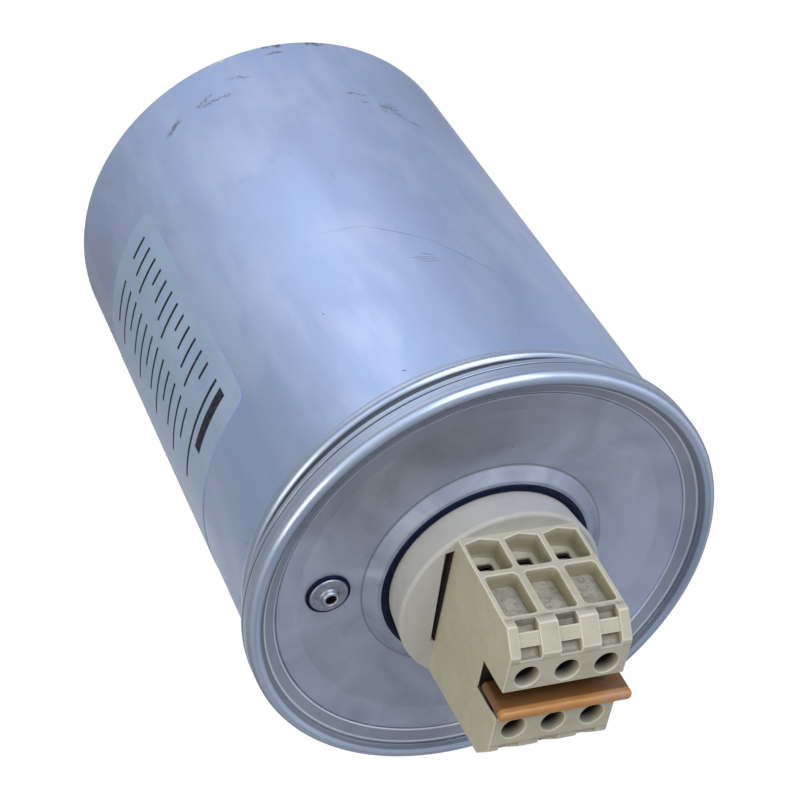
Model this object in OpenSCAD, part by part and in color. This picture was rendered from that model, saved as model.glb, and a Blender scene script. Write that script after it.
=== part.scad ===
// Three-phase power factor correction capacitor.
// A sealed aluminium can with a rolled seam and a pressed lid carries a screw terminal block on a
// round collar. A flat coated resistor plugs into the block's notch.
// Units are millimetres. +Z runs along the can towards the terminals, +X along the row of poles,
// +Y to the side of the block whose wells face up when the can lies down.
// The origin is the centre of the can's base, where it seats on its mounting plate.

/* [Can] */
// Outer diameter of the can's wall
can_d = 116; // [112:1:130]
// Height from the seat to the crest of the seam
can_h = 164; // [140:1:230]
// How far the rolled seam stands out from the wall
seam_out = 2.8; // [2.4:0.1:3.4]
// Diameter of the mounting stud
stud_d = 12; // [10:1:16]
// Length of the mounting stud
stud_l = 16; // [12:1:25]

/* [Lid] */
// Thickness of the lid's sheet
lid_t = 1.5; // [1:0.1:1.8]
// Depth of the lid's flat panel below the seam's crest
panel_drop = 5.3; // [5:0.1:6]
// Height of the raised neck above the flat panel
neck_rise = 2.5; // [2:0.1:3]
// Direction of the fill rivet from the can's axis
rivet_angle = 182; // [150:1:210]

/* [Terminals] */
// Distance between neighbouring poles
pole_pitch = 10; // [9.6:0.1:10.6]
// Depth of the block across the poles, at its foot
block_d = 41.9; // [40.5:0.1:44]
// Height of the block above its collar
block_h = 33.2; // [32:0.1:36]
// Height of the collar above the lid's seat
collar_h = 10.7; // [8:0.1:14]
// Diameter of the screwdriver holes
driver_d = 6; // [5.4:0.1:6.2]

/* [Resistor] */
// Length of the coated plate
plate_l = 33.8; // [32:0.1:40]
// Thickness of the coated plate
plate_t = 2.8; // [2.4:0.1:3.4]
// How far the plate stands out of the block's front
plate_out = 2.3; // [0:0.1:4]

/* [Label] */
// Height of the label
label_h = 85; // [40:1:100]
// Part of a turn that the label wraps round the can
label_wrap = 105; // [60:1:180]

/* [Hidden] */
$fn = 96;
eps = 0.01;
over = 1;

// Can and seam
can_r = can_d / 2;
seam_r = can_r + seam_out;
base_radius = 2;
crest_round = 1.6;
hem_round = 1.2;
hem_drop = 7.3;
hem_z = can_h - hem_drop;
bead_drop = 12.6;
bead_z = can_h - bead_drop;
bead_round = 1.3;
bead_out = 0.35;
neck_in = 0.5;
flare_in = 2;
flare_rise = 2;
seam_line_drop = 5;
seam_line_z = can_h - seam_line_drop;
seam_line_r = 0.45;
seam_line_depth = 0.3;
wall_t = 1;
stud_chamfer = 1.2;

// Collar
collar_r = 25.9;
collar_taper = 1;
foot_r = collar_r - collar_taper;
collar_round = 1;
spigot_step = 7.1;
spigot_r = foot_r - spigot_step;
spigot_l = 3.5;
gap_depth = 3;
gap_wide = 2.4;
gap_narrow = 1.4;
gap_wide_y = collar_r * 0.68;
gap_narrow_y = collar_r * 0.41;
gap_skew = 0.6;

// Lid
panel_z = can_h - panel_drop;
neck_z = panel_z + neck_rise;
seal_w = 2.1;
neck_r = foot_r + seal_w;
neck_crown = 0.6;
neck_run = 4;
neck_foot_r = neck_r + neck_run;
seal_t = 1.5;
seal_round = seal_t * 0.4;
seat_z = neck_z - seal_t;
collar_top = seat_z + collar_h;
crease_in = 10.6;
crease_r = can_r - crease_in;
groove_in = 4.8;
groove_r = can_r - groove_in;
groove_half = 0.2;
groove_depth = 0.5;
groove_rise = 1.75;
groove_z = panel_z + groove_rise;
curl_in = 1.25;
curl_r = can_r - curl_in;
curl_drop = 2;
curl_z = can_h - curl_drop;
curl_step = 0.45;
curl_tail = 1;
lid_edge_out = 0.6;
lid_edge_r = can_r + lid_edge_out;
outer_slope = (curl_z - groove_z) / (curl_r - groove_r);
lid_edge_z = curl_z + (lid_edge_r - curl_r) * outer_slope;
fill_z = panel_z - lid_t;

// Fill rivet, sized by the width of the lid's flat panel
panel_w = crease_r - neck_foot_r;
rivet_r = neck_foot_r + panel_w * 0.54;
fill_seal_r = panel_w * 0.34;
fill_seal_t = 0.7;
rivet_head_r = fill_seal_r * 0.84;
rivet_head_t = 0.9;
rivet_eye_r = rivet_head_r * 0.575;
rivet_eye_t = 1.1;
rivet_eye_step = 0.3;
rivet_hole_r = rivet_eye_r * 0.63;
rivet_shank_r = rivet_eye_r - rivet_eye_step;

// Terminal block: heights count from the collar's top, depths from the middle of the block
poles = [1, 2, 3];
sides = [1, -1];
end_wall = 0.25;
block_w = 3 * pole_pitch + 2 * end_wall;
foot_y = block_d / 2;
draft = 1.2;
brow_y = foot_y - draft;
brow_drop = 4.65;
brow_h = block_h - brow_drop;
brow_run = 5.15;
front_y = brow_y - brow_run;
notch_mouth_y = 4.13;
notch_floor_y = 3.52;
notch_depth = 10.55;
notch_floor_h = block_h - notch_depth;
well_round = 1;
entry_rib = 1.5;
entry_w = pole_pitch - entry_rib;
entry_h0 = 0.7;
entry_h1 = 10.95;
entry_gable = 1.2;
entry_depth = 5.5;
window_w = 5.6;
window_h0 = 3.2;
window_h1 = 10.8;
window_round = 0.6;
pocket_rib = 2;
pocket_w = pole_pitch - pocket_rib;
pocket_h0 = 12.6;
pocket_drop = 8;
pocket_h1 = block_h - pocket_drop;
pocket_depth = 3.7;
slot_w = 5.1;
slot_foot = 2;
slot_h0 = brow_h - slot_foot;
slot_back = 2.2;
slot_back_y = brow_y - slot_back;
slot_low = 1.6;
slot_low_y = front_y - slot_low;
slot_lip = 1.5;
slot_low_h = block_h - slot_lip;
slot_front = 1.25;
slot_front_y = front_y - slot_front;
bar_inset = 0.35;
bar_bite = 0.2;
bar_t = 1.2;
bar_start = 1.5;
bar_end = 4.9;
driver_y = 8.2;
chamber_w = 7.2;
chamber_y0 = 4.8;
chamber_cover = 7.2;
chamber_y1 = foot_y - chamber_cover;
chamber_h = 13.6;
shoulder_h = 15.6;

// Clamps, screws and bars
cage_w = 6.8;
cage_wall = 0.9;
cage_h0 = 3.6;
cage_h1 = 13.2;
cage_y0 = 5.3;
cage_gap = 0.4;
cage_y1 = chamber_y1 - cage_gap;
screw_r = 2;
screw_head_r = 2.7;
screw_head_t = 2.6;
screw_slot_w = 0.8;
screw_slot_d = 1.3;
screw_tip_h = 8.2;
bar_w = 4.4;
bar_h0 = cage_h0 + cage_wall;
bar_plate_t = 1.5;
bar_end_gap = 0.6;
tail_w = 3;
tail_t = 1.2;
slip = 0.1;

// Resistor
plate_floor_gap = 1.1;
plate_round = 1.6;
plate_edge = plate_t * 0.42;
plate_slack = 0.02;
plate_y1 = notch_floor_y - plate_slack;
plate_y0 = plate_y1 - plate_t;
plate_shift = 1.4;
pin_r = 0.6;
pin_y = (plate_y0 + plate_y1) / 2;

// Label
label_t = 0.15;
label_z0 = 34;
label_from = 151;

function pole_x(i) = (i - 2) * pole_pitch;
function up(h) = collar_top + h;
// Depth of the block's upper face at height h
function face_y(h) = foot_y - draft * h / brow_h;
// Point on the brow, a run of s down it and d below it
function brow_point(s, d) =
    let (run = [front_y - brow_y, block_h - brow_h],
         u = run / norm(run))
    [brow_y + u[0] * s - u[1] * d, brow_h + u[1] * s + u[0] * d];

// A square with rounded corners, between two opposite corners
module rounded_square(low, high, r) {
    translate([low[0] + r, low[1]]) square([high[0] - low[0] - 2 * r, high[1] - low[1]]);
    translate([low[0], low[1] + r]) square([high[0] - low[0], high[1] - low[1] - 2 * r]);
    for (x = [low[0] + r, high[0] - r], y = [low[1] + r, high[1] - r])
        translate([x, y]) circle(r = r);
}

// Side profile drawn as [depth, height], made w wide along the row of poles
module across(w) {
    rotate([90, 0, 90]) linear_extrude(height = w, center = true) children();
}

// Outline drawn as [along the poles, height], cut from outside to a depth of y
module inward(y) {
    translate([0, foot_y + over, 0]) rotate([90, 0, 0]) linear_extrude(height = foot_y + over - y) children();
}

// One copy for each side of the block, and one for each pole
module each_side() {
    for (s = sides) on_side(s) children();
}

module on_side(s) {
    if (s > 0) children();
    else mirror([0, 1, 0]) children();
}

module each_pole() {
    for (i = poles) translate([pole_x(i), 0, 0]) children();
}

module lid_profile() {
    polygon([
        [spigot_r, seat_z],
        [neck_r, seat_z],
        [neck_r, neck_z],
        [neck_r + neck_crown, neck_z],
        [neck_foot_r, panel_z],
        [crease_r, panel_z],
        [groove_r - groove_half, groove_z],
        [groove_r - groove_half, groove_z - groove_depth],
        [groove_r + groove_half, groove_z - groove_depth],
        [groove_r + groove_half, groove_z],
        [curl_r, curl_z],
        [lid_edge_r, lid_edge_z],
        [lid_edge_r, lid_edge_z - lid_t],
        [groove_r, groove_z - groove_depth - lid_t],
        [crease_r, fill_z],
        [neck_foot_r - lid_t * 0.6, fill_z],
        [neck_r - lid_t * 0.6, seat_z - lid_t],
        [spigot_r, seat_z - lid_t]
    ]);
}

// Wall, bead, rolled seam and filled core of the can, before the lid is let in
module can_profile() {
    square([can_r - base_radius, fill_z]);
    translate([0, base_radius]) square([can_r, bead_z - base_radius]);
    translate([can_r - base_radius, base_radius]) circle(r = base_radius);
    translate([can_r + bead_out - bead_round, bead_z]) circle(r = bead_round);
    translate([0, bead_z]) square([can_r - neck_in, hem_z - bead_z]);
    polygon([
        [can_r - flare_in, bead_z + flare_rise],
        [can_r - neck_in, bead_z + flare_rise],
        [seam_r - hem_round, hem_z],
        [seam_r, hem_z + hem_round],
        [seam_r, can_h - crest_round],
        [seam_r - crest_round, can_h],
        [curl_r, curl_z + curl_step],
        [curl_r, curl_z],
        [can_r - flare_in, curl_z - curl_tail]
    ]);
    translate([seam_r - hem_round, hem_z + hem_round]) circle(r = hem_round);
    translate([seam_r - crest_round, can_h - crest_round]) circle(r = crest_round);
}

module can() {
    color([0.70, 0.74, 0.84]) {
        rotate_extrude() difference() {
            can_profile();
            lid_profile();
            translate([0, fill_z]) square([can_r - wall_t, lid_edge_z - lid_t - fill_z]);
            translate([0, seat_z - spigot_l - lid_t]) square([spigot_r, spigot_l + lid_t]);
            translate([seam_r + seam_line_r - seam_line_depth, seam_line_z]) circle(r = seam_line_r);
        }
        translate([0, 0, stud_chamfer - stud_l]) cylinder(d = stud_d, h = stud_l - stud_chamfer + eps);
        translate([0, 0, -stud_l])
            cylinder(d1 = stud_d - 2 * stud_chamfer, d2 = stud_d, h = stud_chamfer);
    }
}

module lid() {
    color([0.66, 0.69, 0.76]) difference() {
        rotate_extrude() lid_profile();
        at_rivet() translate([0, 0, -lid_t - over]) cylinder(r = rivet_shank_r, h = lid_t + 2 * over);
    }
}

module terminal_gasket() {
    wall = foot_r + collar_taper * seal_t / collar_h;
    color([0.10, 0.11, 0.18]) rotate_extrude()
        rounded_square([wall, seat_z], [neck_r - eps, neck_z], seal_round);
}

module terminal_collar() {
    color([0.80, 0.80, 0.77]) difference() {
        rotate_extrude() {
            polygon([
                [0, seat_z - spigot_l],
                [spigot_r, seat_z - spigot_l],
                [spigot_r, seat_z],
                [foot_r, seat_z],
                [collar_r, collar_top - collar_round],
                [collar_r - collar_round, collar_top],
                [0, collar_top]
            ]);
            translate([collar_r - collar_round, collar_top - collar_round]) circle(r = collar_round);
        }
        // Gap beside each end wall of the block, narrowing along it
        for (turn = [0, 180]) rotate(turn) translate([-block_w / 2, 0, collar_top - gap_depth])
            linear_extrude(height = gap_depth + over) polygon([
                [0, gap_wide_y],
                [-gap_wide, gap_wide_y - gap_skew],
                [-gap_narrow, -gap_narrow_y],
                [0, -gap_narrow_y - gap_skew]
            ]);
        each_pole() translate([-tail_w / 2 - slip, -tail_t / 2 - slip, 0])
            cube([tail_w + 2 * slip, tail_t + 2 * slip, collar_top + over]);
    }
}

// Body of the block: two drafted cheeks with a sloped brow, and the resistor's notch between them
module block_body() {
    across(block_w) polygon([
        [-foot_y, up(0)],
        [foot_y, up(0)],
        [brow_y, up(brow_h)],
        [front_y, up(block_h)],
        [notch_mouth_y, up(block_h)],
        [notch_floor_y, up(notch_floor_h)],
        [-notch_floor_y, up(notch_floor_h)],
        [-notch_mouth_y, up(block_h)],
        [-front_y, up(block_h)],
        [-brow_y, up(brow_h)]
    ]);
}

// Well that leads a wire to its clamp, with a gabled back edge and a window in its floor
module wire_entry() {
    inward(face_y(entry_h1 / 2) - entry_depth) intersection() {
        rounded_square([-entry_w / 2, up(entry_h0) - well_round], [entry_w / 2, up(entry_h1)], well_round);
        polygon([
            [-entry_w / 2, up(entry_h1)],
            [-entry_w / 2, up(entry_h0 + entry_gable)],
            [0, up(entry_h0)],
            [entry_w / 2, up(entry_h0 + entry_gable)],
            [entry_w / 2, up(entry_h1)]
        ]);
    }
    inward(chamber_y1 - over) rounded_square(
        [-window_w / 2, up(window_h0)], [window_w / 2, up(window_h1)], window_round);
}

module front_pocket() {
    inward(face_y(pocket_h1) - pocket_depth) rounded_square(
        [-pocket_w / 2, up(pocket_h0)], [pocket_w / 2, up(pocket_h1)], well_round);
}

// Groove down the brow, open to the front face
module brow_slot() {
    across(slot_w) polygon([
        [slot_back_y, up(slot_h0)],
        [slot_low_y, up(slot_low_h)],
        [slot_front_y, up(block_h)],
        [slot_front_y, up(block_h) + over],
        [foot_y + over, up(block_h) + over],
        [foot_y + over, up(slot_h0)]
    ]);
}

// Bar that bridges a groove and holds a marker strip
module brow_bar() {
    across(slot_w + 2 * bar_bite) translate([0, collar_top]) polygon([
        brow_point(bar_start, bar_inset),
        brow_point(bar_end, bar_inset),
        brow_point(bar_end, bar_inset + bar_t),
        brow_point(bar_start, bar_inset + bar_t)
    ]);
}

// Room for a clamp and its screw: open to the collar below and to the screwdriver in front
module clamp_room() {
    translate([-chamber_w / 2, chamber_y0, up(0) - over])
        cube([chamber_w, chamber_y1 - chamber_y0, chamber_h + over]);
    translate([0, driver_y, up(0)]) cylinder(r = screw_r + slip, h = block_h);
    translate([0, driver_y, up(shoulder_h)]) cylinder(d = driver_d, h = block_h);
}

module terminal_block() {
    color([0.78, 0.76, 0.66]) {
        difference() {
            block_body();
            each_side() each_pole() {
                wire_entry();
                front_pocket();
                brow_slot();
                clamp_room();
            }
            each_pole() {
                translate([-bar_w / 2 - slip, -chamber_y0 - over, up(0) - over])
                    cube([bar_w + 2 * slip, 2 * (chamber_y0 + over), bar_h0 + bar_plate_t + over]);
                translate([0, -pin_y, up(0)]) cylinder(r = pin_r, h = block_h, $fn = 32);
            }
        }
        each_side() each_pole() brow_bar();
    }
}

module clamp_screws() {
    color([0.72, 0.73, 0.74]) each_side() each_pole() translate([0, driver_y, 0]) difference() {
        union() {
            translate([0, 0, up(screw_tip_h)]) cylinder(r = screw_r, h = shoulder_h - screw_tip_h + eps);
            translate([0, 0, up(shoulder_h)]) cylinder(r = screw_head_r, h = screw_head_t);
        }
        translate([-screw_head_r, -screw_slot_w / 2, up(shoulder_h) + screw_head_t - screw_slot_d])
            cube([2 * screw_head_r, screw_slot_w, screw_slot_d + over]);
    }
}

// Cage that the screw draws against the bar, open along the wire
module clamp(i, side) {
    color([0.74, 0.75, 0.76]) translate([pole_x(i), 0, 0]) on_side(side) difference() {
        translate([-cage_w / 2, cage_y0, up(cage_h0)])
            cube([cage_w, cage_y1 - cage_y0, cage_h1 - cage_h0]);
        translate([-cage_w / 2 + cage_wall, cage_y0 - over, up(cage_h0 + cage_wall)])
            cube([cage_w - 2 * cage_wall, cage_y1 - cage_y0 + 2 * over, cage_h1 - cage_h0 - 2 * cage_wall]);
        translate([0, driver_y, up(cage_h1) - cage_wall - over])
            cylinder(r = screw_r, h = cage_wall + 2 * over);
    }
}

// Bar that joins a pole's two clamps, with a tail down through the collar
module phase_bar(i) {
    color([0.78, 0.60, 0.42]) translate([pole_x(i), 0, 0]) {
        translate([-bar_w / 2, bar_end_gap - cage_y1, up(bar_h0)])
            cube([bar_w, 2 * (cage_y1 - bar_end_gap), bar_plate_t]);
        translate([-tail_w / 2, -tail_t / 2, seat_z - spigot_l])
            cube([tail_w, tail_t, up(bar_h0) - seat_z + spigot_l + eps]);
    }
}

// Coated plate with rounded edges, lying against one side of the notch
module resistor_plate() {
    low = up(notch_floor_h) + plate_floor_gap;
    high = up(block_h) + plate_out;
    half = plate_l / 2;
    color([0.80, 0.55, 0.28]) mirror([0, 1, 0]) translate([plate_shift, 0, 0]) intersection() {
        translate([0, plate_y1, 0]) rotate([90, 0, 0]) linear_extrude(height = plate_t)
            rounded_square([-half, low], [half, high], plate_round);
        across(plate_l + 2 * over) rounded_square([plate_y0, low], [plate_y1, high], plate_edge);
        translate([0, 0, low - over]) linear_extrude(height = high - low + 2 * over)
            rounded_square([-half, plate_y0], [half, plate_y1], plate_edge);
    }
}

module resistor_pin(i) {
    foot = up(bar_h0 + bar_plate_t);
    color([0.76, 0.76, 0.74]) translate([pole_x(i), -pin_y, foot])
        cylinder(r = pin_r, h = up(notch_floor_h) + plate_floor_gap - foot, $fn = 32);
}

module at_rivet() {
    rotate(rivet_angle) translate([rivet_r, 0, panel_z]) children();
}

module fill_seal() {
    color([0.10, 0.11, 0.18]) at_rivet() difference() {
        cylinder(r = fill_seal_r, h = fill_seal_t);
        translate([0, 0, -over]) cylinder(r = rivet_shank_r, h = fill_seal_t + 2 * over);
    }
}

// Blind rivet that closes the fill hole: shank, low conical head and a raised eye
module fill_rivet() {
    color([0.76, 0.77, 0.79]) at_rivet() difference() {
        union() {
            translate([0, 0, -lid_t]) cylinder(r = rivet_shank_r, h = lid_t + fill_seal_t + eps);
            translate([0, 0, fill_seal_t])
                cylinder(r1 = rivet_head_r, r2 = rivet_eye_r + rivet_eye_step, h = rivet_head_t);
            translate([0, 0, fill_seal_t + rivet_head_t - eps]) cylinder(r = rivet_eye_r, h = rivet_eye_t);
        }
        translate([0, 0, fill_seal_t]) cylinder(r = rivet_hole_r, h = rivet_head_t + rivet_eye_t + over);
    }
}

module rating_label() {
    color([0.80, 0.83, 0.88]) rotate(label_from) translate([0, 0, label_z0])
        rotate_extrude(angle = label_wrap) translate([can_r, 0]) square([label_t, label_h]);
}

can();
lid();
terminal_gasket();
terminal_collar();
terminal_block();
clamp_screws();
clamp(1, 1);  // clamp_1_upper
clamp(2, 1);  // clamp_2_upper
clamp(3, 1);  // clamp_3_upper
clamp(1, -1);  // clamp_1_lower
clamp(2, -1);  // clamp_2_lower
clamp(3, -1);  // clamp_3_lower
phase_bar(1);  // phase_bar_1
phase_bar(2);  // phase_bar_2
phase_bar(3);  // phase_bar_3
resistor_plate();
resistor_pin(1);  // resistor_pin_1
resistor_pin(2);  // resistor_pin_2
resistor_pin(3);  // resistor_pin_3
fill_rivet();
fill_seal();
rating_label();
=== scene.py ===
"""Three-phase power factor correction capacitor.

Dressed pieces over the CAD frame, with the stage, light and camera. Lengths are millimetres until a
piece is made, and metres in the finished scene. Angles in the tables are degrees.
"""
import math

import bmesh
import bpy
from mathutils import Matrix, Vector, noise


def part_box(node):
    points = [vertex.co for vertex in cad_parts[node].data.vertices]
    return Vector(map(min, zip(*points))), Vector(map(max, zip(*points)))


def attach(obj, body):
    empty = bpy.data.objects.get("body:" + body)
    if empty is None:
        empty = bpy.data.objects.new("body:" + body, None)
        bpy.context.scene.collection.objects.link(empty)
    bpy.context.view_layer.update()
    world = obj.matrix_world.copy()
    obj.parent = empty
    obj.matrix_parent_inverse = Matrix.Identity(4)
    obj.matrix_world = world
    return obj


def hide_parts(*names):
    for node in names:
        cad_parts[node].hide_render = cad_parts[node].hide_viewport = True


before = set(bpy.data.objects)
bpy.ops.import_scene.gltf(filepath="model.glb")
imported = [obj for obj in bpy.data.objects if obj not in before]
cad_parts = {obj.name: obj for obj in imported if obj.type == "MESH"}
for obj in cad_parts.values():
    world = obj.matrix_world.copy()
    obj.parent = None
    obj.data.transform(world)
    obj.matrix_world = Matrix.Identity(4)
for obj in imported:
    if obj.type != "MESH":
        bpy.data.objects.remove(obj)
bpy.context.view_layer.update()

MM = 0.001
TURNS = 256
RIVET_TURNS = 96

# Camera: where it stands, as a direction from its target, and how it is rolled
CAMERA_TARGET = (13.6, -14.3, 75.4)
CAMERA_DISTANCE = 560.0
CAMERA_BEARING = 122.64
CAMERA_RISE = 45.6
CAMERA_ROLL = 148.76
IMAGE_PX = 800
FOCAL_PX = 2014.5
SENSOR = 36.0
CLIP_START = 0.01

# Stage and light
FLOOR_GAP = 0.3
FLOOR_SIZE = 6000.0
FLOOR_WHITE = (0.85, 0.85, 0.86)
FLOOR_GLOW = 1.15
FLOOR_SHARE = 0.82
AMBIENT = 0.40
# Lamps: place, point they face, size, power and tint
KEY = ((100, 900, 500), (0, 0, 90), 700, 5.0, (1, 1, 1))
FILL = ((-700, 100, 500), (0, 0, 120), 380, 1.8, (1.0, 0.87, 0.52))
# Pools of light on the floor that the can mirrors: bearing, distance from the axis, reach, strength
FLOOR_POOLS = (
    (112.0, 190.0, 210.0, 1.2),
    (118.0, 190.0, 80.0, 0.4),
    (8.0, 165.0, 150.0, 0.32),
    (252.0, 165.0, 130.0, 0.58),
)
FLOOR_DIM = 0.2
# Brightness of the world in shiny surfaces, from its far side to the side the key light is on
MIRROR_Y = (-0.9, 0.7)
MIRROR_FAR = 0.35
MIRROR_NEAR = 1.1
# The same brightness is scaled from low in the world to overhead
MIRROR_Z = (0.57, 0.71)
MIRROR_LOW = 1.3
MIRROR_OVERHEAD = 0.72


def box_mm(node):
    """Lowest and highest corner of a CAD node, in millimetres."""
    low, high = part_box(node)
    return Vector(low) / MM, Vector(high) / MM


# Sizes read from the frame. Only the seam's overhang is given.
CAN_LOW, CAN_HIGH = box_mm("can")
SEAM_R = CAN_HIGH.x
CAN_H = CAN_HIGH.z
STUD_TIP = CAN_LOW.z
SEAM_OUT = 2.8
WALL_R = SEAM_R - SEAM_OUT
LID_HIGH = box_mm("lid")[1]
LID_EDGE_R = LID_HIGH.x
GASKET_LOW, GASKET_HIGH = box_mm("terminal_gasket")
NECK_Z = GASKET_HIGH.z
NECK_R = GASKET_HIGH.x
SEAT_Z = GASKET_LOW.z
RIVET_LOW, RIVET_HIGH = box_mm("fill_rivet")
RIVET_AXIS = (RIVET_LOW + RIVET_HIGH) / 2
SEAL_LOW, SEAL_HIGH = box_mm("fill_seal")
PANEL_Z = SEAL_LOW.z
LABEL_LOW, LABEL_HIGH = box_mm("rating_label")
PLATE_LOW, PLATE_HIGH = box_mm("resistor_plate")
BLOCK_LOW, BLOCK_HIGH = box_mm("terminal_block")
FLOOR_Z = STUD_TIP - FLOOR_GAP

# Can
BASE_ROUND = 2.0
BEAD_Z = CAN_H - 12.6
BEAD_OUT = 0.35
NECK_IN = 0.5
HEM_Z = CAN_H - 7.4
SEAM_LINE_Z = CAN_H - 5.0
CURL_R = WALL_R - 1.25
CURL_Z = CAN_H - 2.0

# Stud thread
THREAD_PITCH = 1.75
THREAD_R = 6.0
THREAD_ROOT = 5.05
CORE_CHAMFER = 0.9

# Lid
LID_T = 1.5
NECK_FOOT_R = 31.0
CREASE_R = WALL_R - 10.6
GROOVE_R = WALL_R - 4.8
GROOVE_Z = PANEL_Z + 1.75
GROOVE_DEPTH = 0.5
SPIGOT_R = 17.8
GASKET_R = 25.05

# Fill rivet
EYE_R = 1.3
SHANK_R = 2.4
HEAD_R = 4.85
HEAD_TOP_R = 4.7
WASHER_LIP_R = 4.5

# Terminal block
BLOCK_ROUND = 0.3
POLE_PITCH = 10.0
INSIDE_X = 15.0
DRIVER_Y = 8.2
DRIVER_R = 3.0
NOTCH_Y = 4.1
NOTCH_FLOOR = BLOCK_HIGH.z - 10.6
WELL_FLOOR_Y = (14.9, 16.4)
WELL_TOP = BLOCK_HIGH.z - 7.8
WINDOW_Y = 14.5
WINDOW_TOP = BLOCK_LOW.z + 11.2
MOUTH_Y = 18.2
FRONT_EDGE_Z = BLOCK_HIGH.z - 7.0
POCKET_LOW = BLOCK_LOW.z + 12.2
BROW_Y = 19.65
BROW_DROP = 4.65
BROW_RUN = 5.15
BROW_FOOT_Y = 12.6

# Gaps in the collar beside the block's end walls
GAP_X = 0.7
GAP_Y = 18.0
GAP_DEPTH = 3.1

# Label
LABEL_FROM = 151.0
LABEL_WRAP = 105.0
LABEL_T = 0.15
LABEL_CORNER = 4.0
LABEL_COLUMNS = 96
LABEL_LIFT = 0.01
INK_T = 0.02
LINE_TOP = 20.0
LINE_PITCH = 5.2
LINE_TALL = 1.0
# Bars on the label: distance below its top edge, height, start and run round the can
LABEL_BARS = (
    [(7.0, 3.4, 5.0, 18.0), (13.0, 1.1, 5.0, 30.0)]
    + [(LINE_TOP + LINE_PITCH * k, LINE_TALL, 5.0, 5.0 + 2.0 * (k * 7 % 4)) for k in range(12)]
    + [(LINE_TOP + LINE_PITCH * k, LINE_TALL, 19.0, 9.0 + 4.0 * (k * 5 % 3)) for k in range(12)]
    + [(LINE_TOP + LINE_PITCH * k, LINE_TALL, 48.0, 14.0 + 4.0 * (k * 5 % 4)) for k in range(8)]
)

# Rub marks on the can: angle, height, half length, half width and tilt
SMUDGES = (
    (133.0, 17.5, 5.0, 1.5, 28.0),
    (119.0, 17.8, 6.0, 1.8, -4.0),
    (122.5, 15.5, 4.0, 1.6, 20.0),
    (111.0, 12.5, 4.5, 1.0, -25.0),
    (76.0, 37.0, 4.0, 4.0, 30.0),
    (73.0, 41.0, 7.0, 1.6, -40.0),
    (84.0, 30.5, 5.0, 1.0, -12.0),
    (83.0, 35.0, 3.5, 0.9, 5.0),
    (98.0, 5.5, 4.0, 0.9, 0.0),
    (15.0, 60.0, 9.0, 2.5, 35.0),
    (330.0, 22.0, 8.0, 3.0, -15.0),
    (290.0, 14.0, 6.0, 2.0, 8.0),
)
# Worn dark spots on the edge of the base, in the same order
EDGE_MARKS = (
    (98.0, 1.2, 4.5, 2.4, 0.0),
    (86.0, 1.2, 5.5, 2.6, 0.0),
    (230.0, 1.2, 4.5, 2.2, 0.0),
)
# Painted glints there: spots on the base's edge coloured pale, in the same order
EDGE_GLINTS = (
    (113.0, 1.4, 5.0, 1.6, 0.0),
    (27.0, 1.4, 4.0, 1.4, 0.0),
)
# Scratches on the can: angle, height, length along the can, turn round it and width
SCUFFS = (
    (134.8, 18.6, -2.4, -4.4, 0.7),
    (121.5, 17.6, 0.3, -5.0, 0.5),
    (86.0, 30.0, 1.5, -5.0, 0.4),
    (99.0, 109.0, 1.5, -6.0, 0.6),
    (98.0, 110.2, 1.2, -5.5, 0.5),
    (97.0, 111.4, 1.0, -5.0, 0.6),
    (95.6, 108.2, 1.6, -3.0, 0.4),
    (115.2, 146.0, 0.8, -1.0, 0.6),
    (114.2, 89.5, 2.6, -9.4, 0.16),
    (104.8, 92.1, 11.3, -13.6, 0.16),
    (91.2, 103.4, 14.9, -11.7, 0.16),
)
SCUFF_STEPS = 8
SCUFF_T = 0.02
SCUFF_TIP = 0.15
# Rub marks break up over this range of the wear noise, and their edges harden over the second range
WEAR_RANGE = (0.44, 0.60)
MARK_RANGE = (0.05, 0.6)


# Mesh helpers

def rounded(corners, steps=6):
    """Path through corners (x, y, reach): each corner is rounded, starting reach before it."""
    path = []
    last = len(corners) - 1
    for k, (x, y, reach) in enumerate(corners):
        here = Vector((x, y))
        if reach == 0 or k in (0, last):
            path.append(here)
            continue
        before = here + (Vector(corners[k - 1][:2]) - here).normalized() * reach
        after = here + (Vector(corners[k + 1][:2]) - here).normalized() * reach
        for s in range(steps + 1):
            t = s / steps
            path.append((1 - t) ** 2 * before + 2 * t * (1 - t) * here + t * t * after)
    return path


def lathe(path, closed=False, turns=TURNS, centre=(0.0, 0.0)):
    """Solid of revolution about an upright axis. A closed path makes a ring."""
    on_axis = 1e-6
    bm = bmesh.new()
    rings = []
    for radius, height in path:
        count = turns if radius > on_axis else 1
        ring = []
        for i in range(count):
            angle = 2 * math.pi * i / turns
            x = centre[0] + radius * math.cos(angle)
            y = centre[1] + radius * math.sin(angle)
            ring.append(bm.verts.new((x, y, height)))
        rings.append(ring)
    pairs = list(zip(rings, rings[1:]))
    if closed:
        pairs.append((rings[-1], rings[0]))
    for low, high in pairs:
        for i in range(turns):
            j = (i + 1) % turns
            corners = (low[i % len(low)], low[j % len(low)], high[j % len(high)], high[i % len(high)])
            bm.faces.new(list(dict.fromkeys(corners)))
    bmesh.ops.recalc_face_normals(bm, faces=bm.faces)
    return bm


def tube(bm, sections):
    """Closed skin through sections with the same number of corners, capped at both ends."""
    for one, two in zip(sections, sections[1:]):
        for i in range(len(one)):
            j = (i + 1) % len(one)
            bm.faces.new((one[i], one[j], two[j], two[i]))
    bm.faces.new(sections[0])
    bm.faces.new(sections[-1])


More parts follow.
